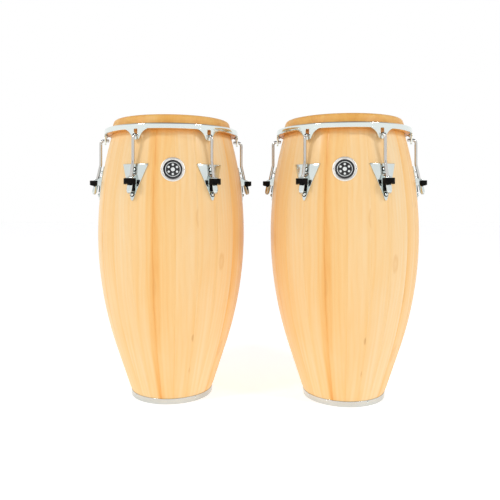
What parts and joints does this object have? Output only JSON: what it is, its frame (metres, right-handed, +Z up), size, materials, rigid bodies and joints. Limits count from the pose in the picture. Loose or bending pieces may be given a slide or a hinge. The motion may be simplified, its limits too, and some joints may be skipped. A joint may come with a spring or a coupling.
{
  "type": "conga drums",
  "caption": "Pair of tall stave-built hand drums with rawhide heads, tensioned by hooked lugs through plates with rubber shell protectors.",
  "frame": {"origin": "on the floor, midway between the two drums, at the middle of the pair's footprint box", "axes": "+X from the left drum to the right drum as the player's audience sees them, +Y away from the badges, +Z up through the heads"},
  "size_m": [0.9352, 0.4464, 0.762],
  "materials": {
    "stave_wood": "satin natural lacquer",
    "rawhide": "smooth dried rawhide",
    "chrome": "polished chrome plate",
    "hoop_steel": "plain steel",
    "badge_metal": "black enamel with a bright rim",
    "black_rubber": "matt moulded rubber"
  },
  "bodies": {
    "left_drum": {"left_badge": "badge_metal", "left_bumpers": "black_rubber", "left_foot_band": "chrome", "left_shell": "stave_wood", "left_side_plates": "chrome"},
    "left_head": {"left_rim": "chrome", "left_head_skin": "rawhide", "left_flesh_hoop": "hoop_steel"},
    "left_hook_1": {"left_lug_hook_1": "chrome"},
    "left_nut_1": {"left_lug_nut_1": "chrome"},
    "left_hook_2": {"left_lug_hook_2": "chrome"},
    "left_nut_2": {"left_lug_nut_2": "chrome"},
    "left_hook_3": {"left_lug_hook_3": "chrome"},
    "left_nut_3": {"left_lug_nut_3": "chrome"},
    "left_hook_4": {"left_lug_hook_4": "chrome"},
    "left_nut_4": {"left_lug_nut_4": "chrome"},
    "left_hook_5": {"left_lug_hook_5": "chrome"},
    "left_nut_5": {"left_lug_nut_5": "chrome"},
    "left_hook_6": {"left_lug_hook_6": "chrome"},
    "left_nut_6": {"left_lug_nut_6": "chrome"},
    "right_drum": {"right_badge": "badge_metal", "right_bumpers": "black_rubber", "right_foot_band": "chrome", "right_shell": "stave_wood", "right_side_plates": "chrome"},
    "right_head": {"right_rim": "chrome", "right_head_skin": "rawhide", "right_flesh_hoop": "hoop_steel"},
    "right_hook_1": {"right_lug_hook_1": "chrome"},
    "right_nut_1": {"right_lug_nut_1": "chrome"},
    "right_hook_2": {"right_lug_hook_2": "chrome"},
    "right_nut_2": {"right_lug_nut_2": "chrome"},
    "right_hook_3": {"right_lug_hook_3": "chrome"},
    "right_nut_3": {"right_lug_nut_3": "chrome"},
    "right_hook_4": {"right_lug_hook_4": "chrome"},
    "right_nut_4": {"right_lug_nut_4": "chrome"},
    "right_hook_5": {"right_lug_hook_5": "chrome"},
    "right_nut_5": {"right_lug_nut_5": "chrome"},
    "right_hook_6": {"right_lug_hook_6": "chrome"},
    "right_nut_6": {"right_lug_nut_6": "chrome"}
  },
  "joints": [
    {"name": "left_head_lift", "type": "slide", "parent": "left_drum", "child": "left_head", "axis": [0, 0, 1], "range_m": [0, 0.012]},
    {"name": "left_hook_draw_1", "type": "slide", "parent": "left_drum", "child": "left_hook_1", "axis": [-0.2141, -0.032, 0.9763], "range_m": [0, 0.01229]},
    {"name": "left_nut_turn_1", "type": "hinge", "parent": "left_drum", "child": "left_nut_1", "pos_m": [-0.0337, 0.04113, 0.584], "axis": [-0.2141, -0.032, 0.9763], "range_deg": [-3136, 0]},
    {"name": "left_hook_draw_2", "type": "slide", "parent": "left_drum", "child": "left_hook_2", "axis": [-0.0793, -0.2014, 0.9763], "range_m": [0, 0.01229]},
    {"name": "left_nut_turn_2", "type": "hinge", "parent": "left_drum", "child": "left_nut_2", "pos_m": [-0.16481, 0.20596, 0.584], "axis": [-0.0793, -0.2014, 0.9763], "range_deg": [-3136, 0]},
    {"name": "left_hook_draw_3", "type": "slide", "parent": "left_drum", "child": "left_hook_3", "axis": [0.1347, -0.1694, 0.9763], "range_m": [0, 0.01229]},
    {"name": "left_nut_turn_3", "type": "hinge", "parent": "left_drum", "child": "left_nut_3", "pos_m": [-0.37311, 0.17483, 0.584], "axis": [0.1347, -0.1694, 0.9763], "range_deg": [-3136, 0]},
    {"name": "left_hook_draw_4", "type": "slide", "parent": "left_drum", "child": "left_hook_4", "axis": [0.2141, 0.032, 0.9763], "range_m": [0, 0.01229]},
    {"name": "left_nut_turn_4", "type": "hinge", "parent": "left_drum", "child": "left_nut_4", "pos_m": [-0.4503, -0.02113, 0.584], "axis": [0.2141, 0.032, 0.9763], "range_deg": [-3136, 0]},
    {"name": "left_hook_draw_5", "type": "slide", "parent": "left_drum", "child": "left_hook_5", "axis": [0.0793, 0.2014, 0.9763], "range_m": [0, 0.01229]},
    {"name": "left_nut_turn_5", "type": "hinge", "parent": "left_drum", "child": "left_nut_5", "pos_m": [-0.31919, -0.18596, 0.584], "axis": [0.0793, 0.2014, 0.9763], "range_deg": [-3136, 0]},
    {"name": "left_hook_draw_6", "type": "slide", "parent": "left_drum", "child": "left_hook_6", "axis": [-0.1347, 0.1694, 0.9763], "range_m": [0, 0.01229]},
    {"name": "left_nut_turn_6", "type": "hinge", "parent": "left_drum", "child": "left_nut_6", "pos_m": [-0.11089, -0.15483, 0.584], "axis": [-0.1347, 0.1694, 0.9763], "range_deg": [-3136, 0]},
    {"name": "right_drum_stand", "type": "slide", "parent": "left_drum", "child": "right_drum", "axis": [1, 0, 0], "range_m": [0, 0.25]},
    {"name": "right_head_lift", "type": "slide", "parent": "right_drum", "child": "right_head", "axis": [0, 0, 1], "range_m": [0, 0.012]},
    {"name": "right_hook_draw_1", "type": "slide", "parent": "right_drum", "child": "right_hook_1", "axis": [-0.2141, 0.032, 0.9763], "range_m": [0, 0.01229]},
    {"name": "right_nut_turn_1", "type": "hinge", "parent": "right_drum", "child": "right_nut_1", "pos_m": [0.4503, -0.04113, 0.584], "axis": [-0.2141, 0.032, 0.9763], "range_deg": [-3136, 0]},
    {"name": "right_hook_draw_2", "type": "slide", "parent": "right_drum", "child": "right_hook_2", "axis": [-0.1347, -0.1694, 0.9763], "range_m": [0, 0.01229]},
    {"name": "right_nut_turn_2", "type": "hinge", "parent": "right_drum", "child": "right_nut_2", "pos_m": [0.37311, 0.15483, 0.584], "axis": [-0.1347, -0.1694, 0.9763], "range_deg": [-3136, 0]},
    {"name": "right_hook_draw_3", "type": "slide", "parent": "right_drum", "child": "right_hook_3", "axis": [0.0793, -0.2014, 0.9763], "range_m": [0, 0.01229]},
    {"name": "right_nut_turn_3", "type": "hinge", "parent": "right_drum", "child": "right_nut_3", "pos_m": [0.16481, 0.18596, 0.584], "axis": [0.0793, -0.2014, 0.9763], "range_deg": [-3136, 0]},
    {"name": "right_hook_draw_4", "type": "slide", "parent": "right_drum", "child": "right_hook_4", "axis": [0.2141, -0.032, 0.9763], "range_m": [0, 0.01229]},
    {"name": "right_nut_turn_4", "type": "hinge", "parent": "right_drum", "child": "right_nut_4", "pos_m": [0.0337, 0.02113, 0.584], "axis": [0.2141, -0.032, 0.9763], "range_deg": [-3136, 0]},
    {"name": "right_hook_draw_5", "type": "slide", "parent": "right_drum", "child": "right_hook_5", "axis": [0.1347, 0.1694, 0.9763], "range_m": [0, 0.01229]},
    {"name": "right_nut_turn_5", "type": "hinge", "parent": "right_drum", "child": "right_nut_5", "pos_m": [0.11089, -0.17483, 0.584], "axis": [0.1347, 0.1694, 0.9763], "range_deg": [-3136, 0]},
    {"name": "right_hook_draw_6", "type": "slide", "parent": "right_drum", "child": "right_hook_6", "axis": [-0.0793, 0.2014, 0.9763], "range_m": [0, 0.01229]},
    {"name": "right_nut_turn_6", "type": "hinge", "parent": "right_drum", "child": "right_nut_6", "pos_m": [0.31919, -0.20596, 0.584], "axis": [-0.0793, 0.2014, 0.9763], "range_deg": [-3136, 0]}
  ],
  "couplings": [
    {"joint": "left_hook_draw_1", "follows": "left_head_lift", "ratio": 1.0243},
    {"joint": "left_nut_turn_1", "follows": "left_head_lift", "rad_per_m": -4560.8},
    {"joint": "left_hook_draw_2", "follows": "left_head_lift", "ratio": 1.0243},
    {"joint": "left_nut_turn_2", "follows": "left_head_lift", "rad_per_m": -4560.8},
    {"joint": "left_hook_draw_3", "follows": "left_head_lift", "ratio": 1.0243},
    {"joint": "left_nut_turn_3", "follows": "left_head_lift", "rad_per_m": -4560.8},
    {"joint": "left_hook_draw_4", "follows": "left_head_lift", "ratio": 1.0243},
    {"joint": "left_nut_turn_4", "follows": "left_head_lift", "rad_per_m": -4560.8},
    {"joint": "left_hook_draw_5", "follows": "left_head_lift", "ratio": 1.0243},
    {"joint": "left_nut_turn_5", "follows": "left_head_lift", "rad_per_m": -4560.8},
    {"joint": "left_hook_draw_6", "follows": "left_head_lift", "ratio": 1.0243},
    {"joint": "left_nut_turn_6", "follows": "left_head_lift", "rad_per_m": -4560.8},
    {"joint": "right_hook_draw_1", "follows": "right_head_lift", "ratio": 1.0243},
    {"joint": "right_nut_turn_1", "follows": "right_head_lift", "rad_per_m": -4560.8},
    {"joint": "right_hook_draw_2", "follows": "right_head_lift", "ratio": 1.0243},
    {"joint": "right_nut_turn_2", "follows": "right_head_lift", "rad_per_m": -4560.8},
    {"joint": "right_hook_draw_3", "follows": "right_head_lift", "ratio": 1.0243},
    {"joint": "right_nut_turn_3", "follows": "right_head_lift", "rad_per_m": -4560.8},
    {"joint": "right_hook_draw_4", "follows": "right_head_lift", "ratio": 1.0243},
    {"joint": "right_nut_turn_4", "follows": "right_head_lift", "rad_per_m": -4560.8},
    {"joint": "right_hook_draw_5", "follows": "right_head_lift", "ratio": 1.0243},
    {"joint": "right_nut_turn_5", "follows": "right_head_lift", "rad_per_m": -4560.8},
    {"joint": "right_hook_draw_6", "follows": "right_head_lift", "ratio": 1.0243},
    {"joint": "right_nut_turn_6", "follows": "right_head_lift", "rad_per_m": -4560.8}
  ]
}
